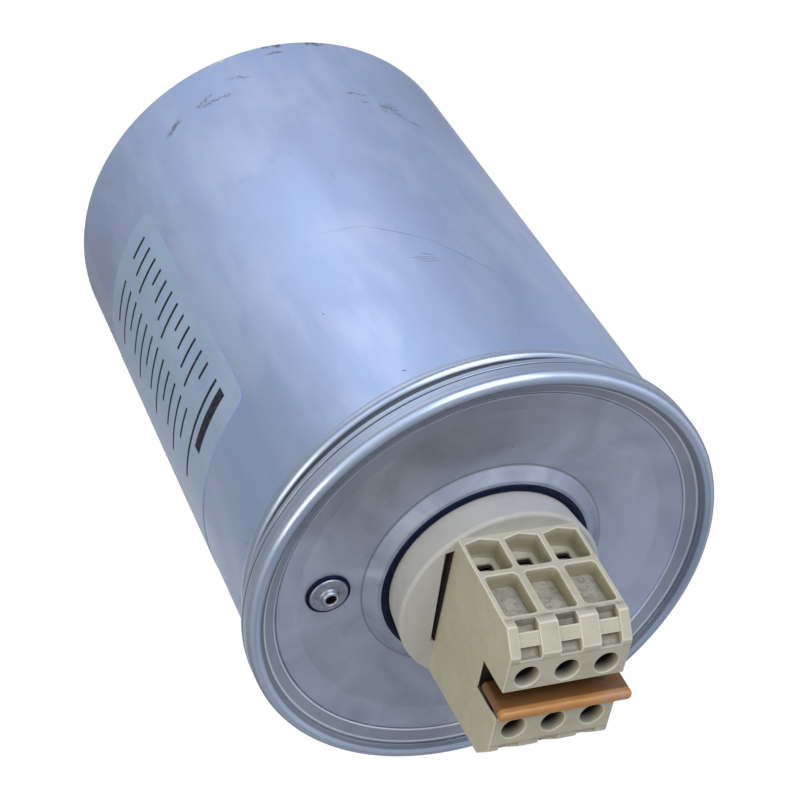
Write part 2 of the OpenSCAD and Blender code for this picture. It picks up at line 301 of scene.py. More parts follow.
def dressed(name, bm, material, replaces=(), sharp=35):
    """Makes a piece of the object from a mesh in millimetres. With no sharp angle, edges stay as marked."""
    bmesh.ops.scale(bm, vec=(MM, MM, MM), verts=bm.verts)
    data = bpy.data.meshes.new(name)
    bm.to_mesh(data)
    bm.free()
    if sharp:
        data.shade_smooth()
        data.set_sharp_from_angle(angle=math.radians(sharp))
    data.materials.append(material)
    obj = bpy.data.objects.new(name, data)
    bpy.context.collection.objects.link(obj)
    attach(obj, "root")
    if replaces:
        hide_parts(*replaces)
    return obj


def outside(edge):
    """Whether an edge of the block, in millimetres, is on its outside or at the mouth of a well."""
    middle = (edge.verts[0].co + edge.verts[1].co) / 2
    if middle.z < BLOCK_LOW.z + 0.3:
        return False
    at_end = abs(middle.x) > BLOCK_HIGH.x - 0.1
    return abs(middle.y) > MOUTH_Y or middle.z > FRONT_EDGE_Z or at_end


def eased(node, name, material, edge_highlight_material, width, segments=2):
    """Copy of a CAD node whose outer edges are eased by a small round of another finish, paler here, that
    paints a highlight along them.
    """
    weld = 0.002
    flat = math.radians(0.5)
    steep = math.radians(35)
    crease = math.radians(12)
    round_crease = math.radians(50)
    bm = bmesh.new()
    bm.from_mesh(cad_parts[node].data)
    bmesh.ops.scale(bm, vec=(1 / MM, 1 / MM, 1 / MM), verts=bm.verts)
    bmesh.ops.remove_doubles(bm, verts=bm.verts, dist=weld)
    bmesh.ops.dissolve_limit(bm, angle_limit=flat, verts=bm.verts, edges=bm.edges)
    edges = [e for e in bm.edges if e.is_convex and e.calc_face_angle(0) > steep and outside(e)]
    bmesh.ops.bevel(bm, geom=edges, offset=width, offset_type="OFFSET", segments=segments, profile=0.5,
                    affect="EDGES", clamp_overlap=False, loop_slide=True, material=1)
    for edge in bm.edges:
        on_round = any(face.material_index == 1 for face in edge.link_faces)
        edge.smooth = edge.calc_face_angle(math.pi) < (round_crease if on_round else crease)
    for face in bm.faces:
        face.smooth = True
    obj = dressed(name, bm, material, (node,), sharp=None)
    obj.data.materials.append(edge_highlight_material)
    steady = obj.modifiers.new("steady", "WEIGHTED_NORMAL")
    steady.keep_sharp = True
    steady.weight = 100
    return obj


# Node helpers

def colour(red, green, blue):
    return (red, green, blue, 1.0)


class Nodes:
    """Adds linked nodes to one node tree."""

    def __init__(self, tree):
        self.tree = tree

    def put(self, socket, value):
        """Links a socket to a node's output, or sets it to a constant."""
        if isinstance(value, bpy.types.NodeSocket):
            self.tree.links.new(value, socket)
        else:
            socket.default_value = value

    def node(self, kind, settings=(), **inputs):
        """New node. The names of its inputs are written with underscores for spaces."""
        made = self.tree.nodes.new(kind)
        for key, value in dict(settings).items():
            setattr(made, key, value)
        for key, value in inputs.items():
            self.put(made.inputs[key.replace("_", " ")], value)
        return made

    def maths(self, operation, a, b=0.0):
        made = self.node("ShaderNodeMath", {"operation": operation})
        self.put(made.inputs[0], a)
        self.put(made.inputs[1], b)
        return made.outputs[0]

    def vector_maths(self, operation, a, b=(0, 0, 0)):
        made = self.node("ShaderNodeVectorMath", {"operation": operation})
        self.put(made.inputs[0], a)
        self.put(made.inputs[1], b)
        return made.outputs

    def span(self, value, low, high, out_low=0.0, out_high=1.0, shape="LINEAR"):
        """Maps low..high to out_low..out_high, held at both ends."""
        made = self.node("ShaderNodeMapRange", {"interpolation_type": shape}, Value=value,
                         From_Min=low, From_Max=high, To_Min=out_low, To_Max=out_high)
        return made.outputs["Result"]

    def all_of(self, *values):
        """Product of the values."""
        product = values[0]
        for value in values[1:]:
            product = self.maths("MULTIPLY", product, value)
        return product

    def rays(self, kind):
        """1 for one kind of ray, such as Camera, and 0 for the others."""
        return self.node("ShaderNodeLightPath").outputs[f"Is {kind} Ray"]

    def white_rays(self):
        """1 for rays from the camera, shiny surfaces and glass."""
        seen = self.maths("MAXIMUM", self.rays("Camera"), self.rays("Glossy"))
        return self.maths("MAXIMUM", seen, self.rays("Transmission"))


class Finish(Nodes):
    """One procedural material: a Principled shader with helpers that add texture nodes to it."""

    def __init__(self, name, roughness, metallic=0.0):
        self.material = bpy.data.materials.new(name)
        self.material.use_nodes = True
        super().__init__(self.material.node_tree)
        self.shader = self.tree.nodes["Principled BSDF"]
        self.shader.inputs["Roughness"].default_value = roughness
        self.shader.inputs["Metallic"].default_value = metallic
        self.place = self.node("ShaderNodeTexCoord").outputs["Object"]

    def stretched(self, scale, shift=(0, 0, 0)):
        """Place on the piece, in millimetres times scale."""
        per_metre = tuple(s / MM for s in scale)
        made = self.node("ShaderNodeMapping", Vector=self.place, Scale=per_metre, Location=shift)
        return made.outputs[0]

    def noise(self, vector, scale=1.0, detail=3.0, roughness=0.55, distortion=0.0):
        made = self.node("ShaderNodeTexNoise", Vector=vector, Scale=scale, Detail=detail,
                         Roughness=roughness, Distortion=distortion)
        return made.outputs["Fac"]

    def mix(self, fac, a, b):
        made = self.node("ShaderNodeMix", {"data_type": "RGBA"})
        self.put(made.inputs[0], fac)
        self.put(made.inputs[6], a)
        self.put(made.inputs[7], b)
        return made.outputs[2]

    def layer(self, base, value, low, high, share, tint):
        """Lays a tint over base where value rises from low to high, up to a share of it."""
        return self.mix(self.span(value, low, high, 0.0, share), base, tint)

    def stain(self, base, factor, share, tint):
        """Lays a share of a tint over base where factor is 1."""
        return self.mix(self.maths("MULTIPLY", factor, share), base, tint)

    def rises(self, place, low, high):
        """0 up to low and 1 from high on. The place is in metres, low and high in millimetres."""
        return self.span(place, low * MM, high * MM)

    def falls(self, place, low, high, start=1.0):
        """The start value up to low and 0 from high on, in the units of rises."""
        return self.span(place, low * MM, high * MM, start, 0.0)

    def band(self, value, low, high, soft):
        """1 between low and high, falling to 0 over soft on both sides."""
        above = self.span(value, low - soft, low)
        below = self.span(value, high, high + soft, 1.0, 0.0)
        return self.maths("MULTIPLY", above, below)

    def strip(self, place, low, high, soft):
        """Band of a place in metres, with low, high and soft in millimetres."""
        return self.band(place, low * MM, high * MM, soft * MM)

    def size(self, value):
        return self.maths("ABSOLUTE", value)

    def split(self):
        """Object coordinates in metres, one output each."""
        return self.node("ShaderNodeSeparateXYZ", Vector=self.place).outputs

    def radius(self):
        """Distance from the can's axis, in millimetres."""
        flat = self.vector_maths("MULTIPLY", self.place, (1 / MM, 1 / MM, 0))
        return self.vector_maths("LENGTH", flat[0])["Value"]

    def patch(self, centre, turn, reach):
        """1 round a centre in millimetres, falling to 0 at the reach along three turned axes."""
        core = 0.25
        local = self.node("ShaderNodeMapping", {"vector_type": "TEXTURE"}, Vector=self.place, Rotation=turn,
                          Location=[c * MM for c in centre], Scale=[r * MM for r in reach])
        away = self.vector_maths("LENGTH", local.outputs[0])["Value"]
        return self.span(away, core, 1.0, 1.0, 0.0)

    def bump(self, height, strength, distance):
        made = self.node("ShaderNodeBump", Height=height, Strength=strength, Distance=distance * MM)
        self.put(self.shader.inputs["Normal"], made.outputs[0])

    def set(self, **inputs):
        for key, value in inputs.items():
            self.put(self.shader.inputs[key.replace("_", " ")], value)
        return self.material


# Finishes

def smudges(f, marks, wear):
    """Factor for broken rub marks and painted glints, which are listed as SMUDGES are. They show where wear
    is high.
    """
    total = 0.0
    for angle, height, half_long, half_wide, tilt in marks:
        turn = math.radians(angle)
        centre = (WALL_R * math.cos(turn), WALL_R * math.sin(turn), height)
        reach = (half_long + half_wide, half_long, half_wide)
        spot = f.patch(centre, (math.radians(tilt), 0, turn), reach)
        total = f.maths("MAXIMUM", total, spot)
    broken = f.maths("MULTIPLY", total, f.span(wear, *WEAR_RANGE))
    return f.span(broken, *MARK_RANGE)


def can_finish():
    """Drawn aluminium: clouds, pale smears, faint streaks, rub marks, dark specks and a turned rim, with
    painted glints on the base's edge and painted shade inside the rolled seam, under the hem and along the
    seam's middle line.
    """
    f = Finish("can_aluminium", 0.42, 0.55)
    z = f.split()["Z"]
    streak = f.noise(f.stretched((0.9, 0.9, 0.012)), detail=5, roughness=0.7)
    broad = f.noise(f.stretched((0.07, 0.07, 0.008)), detail=2)
    cloud = f.noise(f.stretched((0.035, 0.035, 0.022)), detail=4, distortion=0.15)
    scuff = f.noise(f.stretched((0.25, 0.25, 0.08)), detail=8, roughness=0.75)
    speck = f.noise(f.stretched((0.45, 0.45, 0.3)), detail=2)
    smear = f.noise(f.stretched((0.07, 0.07, 0.026), (1, 4, 2)), detail=6, roughness=0.6, distortion=0.1)
    wear = f.noise(f.stretched((0.5, 0.5, 0.5), (7, 3, 5)), detail=8, roughness=0.75)
    turned = f.noise(f.stretched((0.02, 0.02, 2.2)), detail=4, roughness=0.7)
    base = f.mix(f.span(broad, 0.3, 0.7, 0.2, 0.8), colour(0.33, 0.45, 0.77), colour(0.43, 0.57, 0.91))
    base = f.layer(base, streak, 0.4, 0.75, 0.12, colour(0.56, 0.65, 0.88))
    base = f.layer(base, cloud, 0.42, 0.7, 0.45, colour(0.33, 0.40, 0.64))
    base = f.layer(base, smear, 0.48, 0.62, 0.38, colour(0.55, 0.64, 0.92))
    base = f.layer(base, scuff, 0.62, 0.72, 0.4, colour(0.24, 0.28, 0.42))
    base = f.layer(base, speck, 0.79, 0.82, 0.6, colour(0.10, 0.11, 0.17))
    base = f.stain(base, smudges(f, SMUDGES, wear), 0.65, colour(0.11, 0.13, 0.21))
    base = f.mix(smudges(f, EDGE_MARKS, wear), base, colour(0.01, 0.01, 0.014))
    # Painted glints on the base's edge
    base = f.mix(smudges(f, EDGE_GLINTS, wear), base, colour(0.68, 0.80, 0.82))
    rim = f.rises(z, BEAD_Z - 2, BEAD_Z - 1)
    turned_rim = f.mix(f.span(turned, 0.35, 0.65), colour(0.30, 0.37, 0.53), colour(0.50, 0.57, 0.71))
    base = f.stain(base, rim, 0.65, turned_rim)
    # Painted shade inside the rolled seam, on its turned-in wall by the lid
    curl_shade = f.all_of(rim, f.band(f.radius(), CURL_R - 0.5, CURL_R + 0.9, 0.4))
    base = f.stain(base, curl_shade, 0.75, colour(0.10, 0.115, 0.15))
    # Painted shade in the crease under the hem and along the seam's middle line
    under_hem_shade = f.strip(z, BEAD_Z + 1.7, BEAD_Z + 2.7, 0.4)
    seam_line_shade = f.strip(z, SEAM_LINE_Z - 0.15, SEAM_LINE_Z + 0.15, 0.2)
    base = f.mix(f.maths("MAXIMUM", under_hem_shade, seam_line_shade), base, colour(0.085, 0.095, 0.135))
    drawn = f.maths("ADD", f.maths("MULTIPLY", streak, 0.3), cloud)
    lines = f.maths("MULTIPLY", turned, f.maths("MULTIPLY", rim, 1.5))
    f.bump(f.maths("ADD", drawn, lines), 0.14, 0.25)
    wall_roughness = f.span(smear, 0.35, 0.65, 0.38, 0.30)
    return f.set(Base_Color=base, Roughness=f.span(rim, 0.0, 1.0, wall_roughness, 0.24))


def lid_finish():
    """Pressed sheet: blotches, faint rings left by the tool and fine scratches, with a painted shade patch,
    a painted light patch, painted shade at its steps and on the neck, and painted highlights along the
    edges of the groove and of the seam.
    """
    f = Finish("lid_aluminium", 0.4, 0.6)
    r = f.radius()
    ring = f.node("ShaderNodeTexNoise", {"noise_dimensions": "1D"}, W=r, Scale=0.9, Detail=3.0).outputs[0]
    blotch = f.noise(f.stretched((0.06, 0.06, 0.06)), detail=6, distortion=1.0)
    fine = f.noise(f.stretched((0.9, 0.05, 0.3), (3, 1, 0)), detail=4, roughness=0.7)
    speck = f.noise(f.stretched((0.5, 0.5, 0.5)), detail=3)
    pale = colour(0.60, 0.66, 0.80)
    base = f.mix(f.span(blotch, 0.3, 0.7), colour(0.31, 0.355, 0.48), colour(0.44, 0.50, 0.66))
    base = f.layer(base, ring, 0.4, 0.75, 0.07, pale)
    base = f.layer(base, fine, 0.62, 0.75, 0.1, pale)
    base = f.layer(base, speck, 0.72, 0.76, 0.4, colour(0.09, 0.09, 0.11))
    # A painted shade patch and a painted light patch across the panel
    dull_and_painted_shade = f.patch((-14, 42, PANEL_Z), (0, 0, 0.3), (52, 26, 30))
    base = f.stain(base, dull_and_painted_shade, 0.42, colour(0.20, 0.215, 0.26))
    painted_light_patch = f.patch((46, -8, PANEL_Z), (0, 0, 0.2), (24, 52, 30))
    base = f.stain(base, painted_light_patch, 0.6, colour(0.58, 0.70, 0.99))
    # Painted shade from the groove out under the seam, round the base of the neck and on the neck's slope
    step_shade = f.band(r, GROOVE_R + 0.6, LID_EDGE_R + 1, 0.3)
    base = f.stain(base, step_shade, 0.45, colour(0.16, 0.18, 0.23))
    foot_shade = f.band(r, NECK_FOOT_R + 0.05, NECK_FOOT_R + 0.3, 0.25)
    base = f.stain(base, foot_shade, 0.55, colour(0.10, 0.115, 0.15))
    neck = f.band(r, NECK_R + 0.6, NECK_FOOT_R - 0.4, 0.4)
    base = f.stain(base, neck, f.span(blotch, 0.35, 0.65, 0.5, 0.15), colour(0.17, 0.21, 0.31))
    # Painted highlights along the edges of the groove and of the rolled seam
    edges = f.maths("MAXIMUM", f.band(r, GROOVE_R + 0.25, GROOVE_R + 0.5, 0.12),
                    f.band(r, CURL_R - 0.55, CURL_R - 0.3, 0.15))
    base = f.stain(base, edges, 0.7, colour(0.74, 0.79, 0.88))
    f.bump(f.maths("ADD", blotch, f.maths("MULTIPLY", fine, 0.6)), 0.12, 0.18)
    return f.set(Base_Color=base, Roughness=f.span(blotch, 0.3, 0.7, 0.30, 0.46))


def rivet_finish():
    """Bright aluminium with duller spots, a pale rim round the eye and painted shade inside the eye."""
    f = Finish("rivet_aluminium", 0.35, 0.8)
    middle = RIVET_AXIS.xy[:] + (SEAL_HIGH.z,)
    dull_and_painted_shade = f.noise(f.stretched((0.6, 0.6, 0.6)), detail=4)
    eye = f.patch(middle, (0, 0, 0), (EYE_R * 1.25, EYE_R * 1.25, 40))
    rim = f.patch(middle, (0, 0, 0), (EYE_R * 2.1, EYE_R * 2.1, 60))
    # Painted shade inside the eye
    hole_shade = f.span(eye, 0.1, 0.2)
    base = f.mix(f.span(dull_and_painted_shade, 0.35, 0.7), colour(0.22, 0.25, 0.34), colour(0.38, 0.43, 0.54))
    base = f.mix(f.span(rim, 0.45, 0.6), base, colour(0.72, 0.75, 0.80))
    base = f.mix(hole_shade, base, colour(0.008, 0.009, 0.014))
    f.bump(dull_and_painted_shade, 0.1, 0.1)
    head_roughness = f.span(dull_and_painted_shade, 0.3, 0.7, 0.29, 0.45)
    return f.set(Base_Color=base, Roughness=f.span(hole_shade, 0.0, 1.0, head_roughness, 0.8))


def rubber_finish():
    """Dark sealing rubber with a little dust."""
    f = Finish("seal_rubber", 0.5)
    f.shader.inputs["Specular IOR Level"].default_value = 0.12
    dust = f.noise(f.stretched((0.5, 0.5, 0.5)), detail=5, roughness=0.7)
    base = f.mix(f.span(dust, 0.5, 0.8), colour(0.001, 0.005, 0.026), colour(0.003, 0.011, 0.045))
    f.bump(dust, 0.1, 0.1)
    return f.set(Base_Color=base, Roughness=f.span(dust, 0.3, 0.7, 0.32, 0.55))


def plastic_finish(name, pale, deep, dirt, zones):
    """Moulded plastic: uneven tint, fine grain, grime in blotches and specks, and zones of dust, dirt and
    painted shade.
    """
    f = Finish(name, 0.55)
    tint = f.noise(f.stretched((0.05, 0.05, 0.05)), detail=3)
    grain = f.noise(f.stretched((3, 3, 3)), detail=4, roughness=0.6)
    grime = f.noise(f.stretched((0.18, 0.18, 0.18), (5, 2, 7)), detail=8, roughness=0.7)
    speck = f.noise(f.stretched((0.9, 0.9, 0.9)), detail=2)
    base = f.mix(f.span(tint, 0.35, 0.65), pale, deep)
    base = f.layer(base, grime, 0.5, 0.75, 0.25, dirt)
    base = f.layer(base, speck, 0.72, 0.78, 0.55, dirt)
    base = zones(f, base, grime, speck)
    f.bump(f.maths("ADD", grain, speck), 0.12, 0.06)
    return f.set(Base_Color=base, Roughness=f.span(grime, 0.3, 0.7, 0.48, 0.68))


def block_zones(f, base, grime, speck):
    """Dust on the floors of the pockets, dirt and painted shade in the grooves, painted shade on the walls
    of the wells, and painted shade in windows, holes and notch.
    """
    place = f.split()
    x, y, z = place["X"], f.size(place["Y"]), place["Z"]
    inside = f.falls(f.size(x), INSIDE_X - 0.1, INSIDE_X)

    dust = f.mix(f.span(grime, 0.42, 0.62), colour(0.43, 0.43, 0.42), colour(0.25, 0.25, 0.24))
    dust = f.layer(dust, speck, 0.52, 0.74, 0.75, colour(0.10, 0.095, 0.085))
    floor = f.all_of(inside, f.strip(y, WELL_FLOOR_Y[0], WELL_FLOOR_Y[1], 0.15),
                     f.rises(z, POCKET_LOW - 0.3, POCKET_LOW),
                     f.falls(z, WELL_TOP, WELL_TOP + 0.2))
    base = f.mix(floor, base, dust)
    # Painted shade: the walls of the wells are darker and yellower
    wall = f.all_of(inside, f.strip(y, WELL_FLOOR_Y[1] + 0.2, MOUTH_Y + 0.8, 0.6),
                    f.falls(z, WELL_TOP, WELL_TOP + 0.2, 0.6))
    base = f.mix(wall, base, colour(0.40, 0.37, 0.22))

    # Painted shade in the notch that holds the resistor
    notch = f.all_of(f.falls(y, NOTCH_Y, NOTCH_Y + 0.1),
                     f.falls(z, BLOCK_HIGH.z - 3.0, BLOCK_HIGH.z - 0.6),
                     f.rises(z, NOTCH_FLOOR - 0.2, NOTCH_FLOOR))
    base = f.mix(notch, base, colour(0.014, 0.011, 0.008))

    # Dirt and painted shade in the slots under the brow, broken up by the grime noise
    over_foot = f.maths("SUBTRACT", z, (BLOCK_HIGH.z - BROW_DROP) * MM)
    rise = f.maths("MULTIPLY", over_foot, BROW_RUN / BROW_DROP)
    sunk = f.maths("ADD", f.maths("SUBTRACT", y, BROW_Y * MM), rise)
    groove = f.all_of(inside, f.falls(sunk, -2.4, -0.8), f.span(grime, 0.35, 0.6, 0.25, 0.75),
                      f.rises(z, WELL_TOP + 0.6, WELL_TOP + 0.8),
                      f.rises(y, BROW_FOOT_Y, BROW_FOOT_Y + 0.2))
    base = f.mix(groove, base, colour(0.14, 0.125, 0.11))

    # Painted shade in the windows of the wire entries and in the driver holes
    window_shade = f.all_of(inside, f.falls(y, WINDOW_Y, WELL_FLOOR_Y[0]),
                      f.falls(z, WINDOW_TOP, WINDOW_TOP + 0.2))
    across = f.maths("PINGPONG", x, POLE_PITCH / 2 * MM)
    aside = f.maths("SUBTRACT", y, DRIVER_Y * MM)
    squares = f.maths("ADD", f.maths("POWER", across, 2.0), f.maths("POWER", aside, 2.0))
    hole_shade = f.all_of(inside, f.falls(f.maths("SQRT", squares), DRIVER_R + 0.05, DRIVER_R + 0.25),
                    f.falls(z, BLOCK_HIGH.z - 3.4, BLOCK_HIGH.z - 0.6))
    return f.mix(f.maths("MAXIMUM", window_shade, hole_shade), base, colour(0.012, 0.011, 0.010))


def collar_zones(f, base, grime, speck):
    """Painted shade in the gaps beside the block's end walls."""
    place = f.split()
    x, y, z = f.size(place["X"]), f.size(place["Y"]), place["Z"]
    gap_floor = BLOCK_LOW.z - GAP_DEPTH
    # Painted shade near the block's wall in each of the gaps
    gap_shade = f.all_of(f.strip(x, BLOCK_HIGH.x - 0.3, BLOCK_HIGH.x + GAP_X / 3, 0.45),
                   f.rises(z, gap_floor, gap_floor + 0.05),
                   f.falls(y, GAP_Y - 0.1, GAP_Y),
                   f.falls(z, BLOCK_LOW.z - 0.5, BLOCK_LOW.z - 0.15))
    return f.mix(gap_shade, base, colour(0.035, 0.025, 0.02))


def resistor_finish():
    """Dipped coating: glossy, a little streaky, rubbed pale near one end, with a painted shadow where it
    goes into the notch.
    """
    f = Finish("resistor_coating", 0.3)
    place = f.split()
    sway = f.noise(f.stretched((0.12, 0.3, 0.3)), detail=4, distortion=0.5)
    rub = f.noise(f.stretched((0.35, 0.35, 0.35), (2, 0, 1)), detail=7, roughness=0.7)
    base = f.mix(f.span(sway, 0.3, 0.7), colour(0.42, 0.195, 0.055), colour(0.52, 0.265, 0.095))
    worn = f.maths("MULTIPLY", f.rises(place["X"], 9, 13), f.span(rub, 0.45, 0.6, 0.0, 0.8))
    base = f.mix(worn, base, colour(0.42, 0.30, 0.28))
    # Painted shadow along the block's front edge
    shade = f.falls(place["Z"], BLOCK_HIGH.z, BLOCK_HIGH.z + 0.5, 0.7)
    base = f.mix(shade, base, colour(0.06, 0.022, 0.012))
    f.bump(sway, 0.15, 0.3)
    return f.set(Base_Color=base, Roughness=f.span(rub, 0.3, 0.7, 0.29, 0.42))


def film_finish():
    """Silvered label film, a little cloudy and creased along the can."""
    f = Finish("label_film", 0.38, 0.3)
    cloud = f.noise(f.stretched((0.08, 0.08, 0.05)), detail=5)
    crease = f.noise(f.stretched((0.7, 0.7, 0.02)), detail=3)
    base = f.mix(f.span(cloud, 0.3, 0.7), colour(0.335, 0.46, 0.74), colour(0.415, 0.55, 0.83))
    f.bump(crease, 0.1, 0.1)
    return f.set(Base_Color=base, Roughness=f.span(cloud, 0.3, 0.7, 0.32, 0.46))


def ink_finish():
    """Dark print, slightly worn."""
    f = Finish("label_ink", 0.5)
    f.shader.inputs["Specular IOR Level"].default_value = 0.2
    wear = f.noise(f.stretched((0.9, 0.9, 0.9)), detail=5, roughness=0.7)
    base = f.mix(f.span(wear, 0.45, 0.75), colour(0.008, 0.010, 0.020), colour(0.06, 0.07, 0.10))
    return f.set(Base_Color=base, Roughness=f.span(wear, 0.3, 0.7, 0.42, 0.6))


def metal_finish(name, dark, light, roughness, stain_and_glint_range=(0.3, 0.7), metallic=0.9):
    """Plated or plain metal parts inside the block, with stains and fine drawn lines. On the clamp steel
    the pale patches are painted glints.
    """
    f = Finish(name, roughness, metallic)
    line = f.noise(f.stretched((0.2, 2.5, 2.5)), detail=5, roughness=0.7)
    stain = f.noise(f.stretched((0.3, 0.3, 0.3)), detail=4)
    base = f.mix(f.span(stain, *stain_and_glint_range), dark, light)
    f.bump(line, 0.1, 0.05)
    return f.set(Base_Color=base, Roughness=f.span(line, 0.3, 0.7, roughness - 0.08, roughness + 0.1))


def scuff_finish():
    """Dark rub marks on the can, thinning out in spots."""
    f = Finish("scuff_mark", 0.5, 0.3)
    wear = f.noise(f.stretched((0.8, 0.8, 0.8)), detail=6, roughness=0.75)
    base = f.mix(f.span(wear, 0.42, 0.62), colour(0.05, 0.055, 0.09), colour(0.18, 0.21, 0.33))
    return f.set(Base_Color=base, Roughness=f.span(wear, 0.3, 0.7, 0.4, 0.6))


# Pieces. A profile lists its corners as radius, height and the reach of the corner's round.

def can_piece(material):
    """Can with its base, bead, necked rim, rolled seam and the core of its stud."""
    path = rounded([
        (0, STUD_TIP, 0),
        (THREAD_ROOT - CORE_CHAMFER, STUD_TIP, 0.1),
        (THREAD_ROOT, STUD_TIP + CORE_CHAMFER, 0.1),
        (THREAD_ROOT, -1.6, 0.2),
        (THREAD_R, -0.9, 0.2),
        (THREAD_R, 0, 0.3),
        (WALL_R, 0, BASE_ROUND),
        (WALL_R, BEAD_Z - 1.6, 0.5),
        (WALL_R + BEAD_OUT, BEAD_Z - 0.8, 0.4),
        (WALL_R + BEAD_OUT, BEAD_Z + 0.5, 0.5),
        (WALL_R - NECK_IN, BEAD_Z + 1.6, 0.6),
        (WALL_R - NECK_IN, BEAD_Z + 2.6, 0.5),
        (SEAM_R - 1.1, HEM_Z, 0.5),
        (SEAM_R, HEM_Z + 0.9, 0.6),
        (SEAM_R, SEAM_LINE_Z - 0.3, 0.12),
        (SEAM_R - 0.4, SEAM_LINE_Z, 0.12),
        (SEAM_R, SEAM_LINE_Z + 0.3, 0.12),
        (SEAM_R, CAN_H - 1.4, 0.8),
        (SEAM_R - 0.8, CAN_H - 0.35, 0.5),
        (SEAM_R - 1.8, CAN_H, 0.5),
        (CURL_R + 0.5, CURL_Z + 0.9, 0.5),
        (CURL_R, CURL_Z + 0.45, 0.2),
        (CURL_R, CURL_Z, 0.1),
        (CURL_R + 0.4, CURL_Z - 0.6, 0),
        (CURL_R + 0.4, PANEL_Z - LID_T, 0),
        (0, PANEL_Z - LID_T, 0),
    ])
    return dressed("can_shell", lathe(path), material, ("can",))


def stud_thread(material):
    """Ridge of the stud's thread: one helix that runs out over half a turn at both ends."""
    steps = 48
    low = STUD_TIP + 1.3
    high = -1.9
    total = int((high - low) / THREAD_PITCH * steps)
    half_root = THREAD_PITCH * 0.44
    half_crest = THREAD_PITCH * 0.08
    inner = THREAD_ROOT - 0.15
    thinnest = 0.05
    bm = bmesh.new()
    sections = []
    for k in range(total + 1):
        angle = 2 * math.pi * k / steps
        z = low + THREAD_PITCH * k / steps
        lead = min(1.0, k / steps * 2, (total - k) / steps * 2)
        crest = inner + thinnest + (THREAD_R - inner - thinnest) * lead
        corners = ((inner, -half_root), (crest, -half_crest), (crest, half_crest), (inner, half_root))
        sections.append([bm.verts.new((r * math.cos(angle), r * math.sin(angle), z + dz))
                         for r, dz in corners])
    tube(bm, sections)
    bmesh.ops.recalc_face_normals(bm, faces=bm.faces)
    return dressed("stud_thread", bm, material, sharp=30)


def lid_piece(material):
    """Pressed lid: seat, raised neck, flat panel, crease, groove and the edge under the seam."""
    groove_floor = GROOVE_Z - GROOVE_DEPTH
    path = rounded([
        (SPIGOT_R, SEAT_Z, 0),
        (NECK_R, SEAT_Z, 0.1),
        (NECK_R, NECK_Z, 0.25),
        (NECK_R + 0.9, NECK_Z, 0.35),
        (NECK_FOOT_R, PANEL_Z, 0.5),
        (CREASE_R, PANEL_Z, 0.35),
        (GROOVE_R - 0.25, GROOVE_Z, 0.2),
        (GROOVE_R - 0.1, groove_floor, 0.08),
        (GROOVE_R + 0.1, groove_floor, 0.08),
        (GROOVE_R + 0.25, GROOVE_Z, 0.2),
        (LID_EDGE_R, LID_HIGH.z, 0),
        (LID_EDGE_R, LID_HIGH.z - LID_T, 0),
        (GROOVE_R, groove_floor - LID_T, 0.3),
        (CREASE_R, PANEL_Z - LID_T, 1.0),
        (NECK_FOOT_R - 1, PANEL_Z - LID_T, 0.5),
        (NECK_R - 1, SEAT_Z - LID_T, 0.5),
        (SPIGOT_R, SEAT_Z - LID_T, 0),
    ])
    return dressed("lid_sheet", lathe(path, closed=True), material, ("lid",))


def gasket_piece(material):
    """Sealing ring squeezed between the collar and the lid's neck, a little proud in the middle."""
    path = rounded([
        (GASKET_R + 0.7, SEAT_Z, 0),
        (NECK_R, SEAT_Z, 0.3),
        (NECK_R, NECK_Z + 0.1, 0.5),
        ((GASKET_R + NECK_R) / 2, NECK_Z + 0.45, 0.5),
        (GASKET_R, NECK_Z + 0.2, 0.5),
        (GASKET_R, SEAT_Z, 0.3),
        (GASKET_R + 0.6, SEAT_Z, 0),
    ])
    return dressed("gasket_ring", lathe(path, closed=True), material, ("terminal_gasket",))


def rivet_pieces(metal, rubber):
    """Fill rivet: domed head with a raised, drilled eye, on a sealing washer."""
    axis = RIVET_AXIS.xy
    washer_top = SEAL_HIGH.z
    washer_r = (SEAL_HIGH.x - SEAL_LOW.x) / 2
    eye_top = RIVET_HIGH.z
    washer = rounded([
        (SHANK_R, PANEL_Z, 0),
        (washer_r, PANEL_Z, 0.1),
        (washer_r, washer_top, 0.3),
        (WASHER_LIP_R, washer_top + 0.02, 0.2),
        (SHANK_R, washer_top, 0),
    ])
    head = rounded([
        (0, PANEL_Z - LID_T, 0),
        (SHANK_R, PANEL_Z - LID_T, 0.2),
        (SHANK_R, washer_top, 0),
        (HEAD_R, washer_top, 0.1),
        (HEAD_TOP_R, washer_top + 0.4, 0.2),
        (EYE_R + 1.1, washer_top + 0.7, 0.4),
        (EYE_R + 0.8, eye_top - 0.2, 0.2),
        (EYE_R + 0.5, eye_top, 0.2),
        (EYE_R + 0.1, eye_top - 0.1, 0.2),
        (EYE_R, washer_top - 1.2, 0.1),
        (0, washer_top - 1.3, 0),
    ])
    dressed("fill_washer", lathe(washer, True, RIVET_TURNS, axis), rubber, ("fill_seal",))
    dressed("fill_plug", lathe(head, False, RIVET_TURNS, axis), metal, ("fill_rivet",))


def on_wall(bm, radius, angle, height):
    """Vertex on a cylinder about the can's axis. The angle is in degrees."""
    turn = math.radians(angle)
    return bm.verts.new((radius * math.cos(turn), radius * math.sin(turn), height))


def skin(bm, inner, outer, columns):
    """Thin closed sheet on the can's wall. columns lists (angle, low height, high height)."""
    tube(bm, [[on_wall(bm, r, a, z) for r, z in ((inner, z0), (outer, z0), (outer, z1), (inner, z1))]
              for a, z0, z1 in columns])


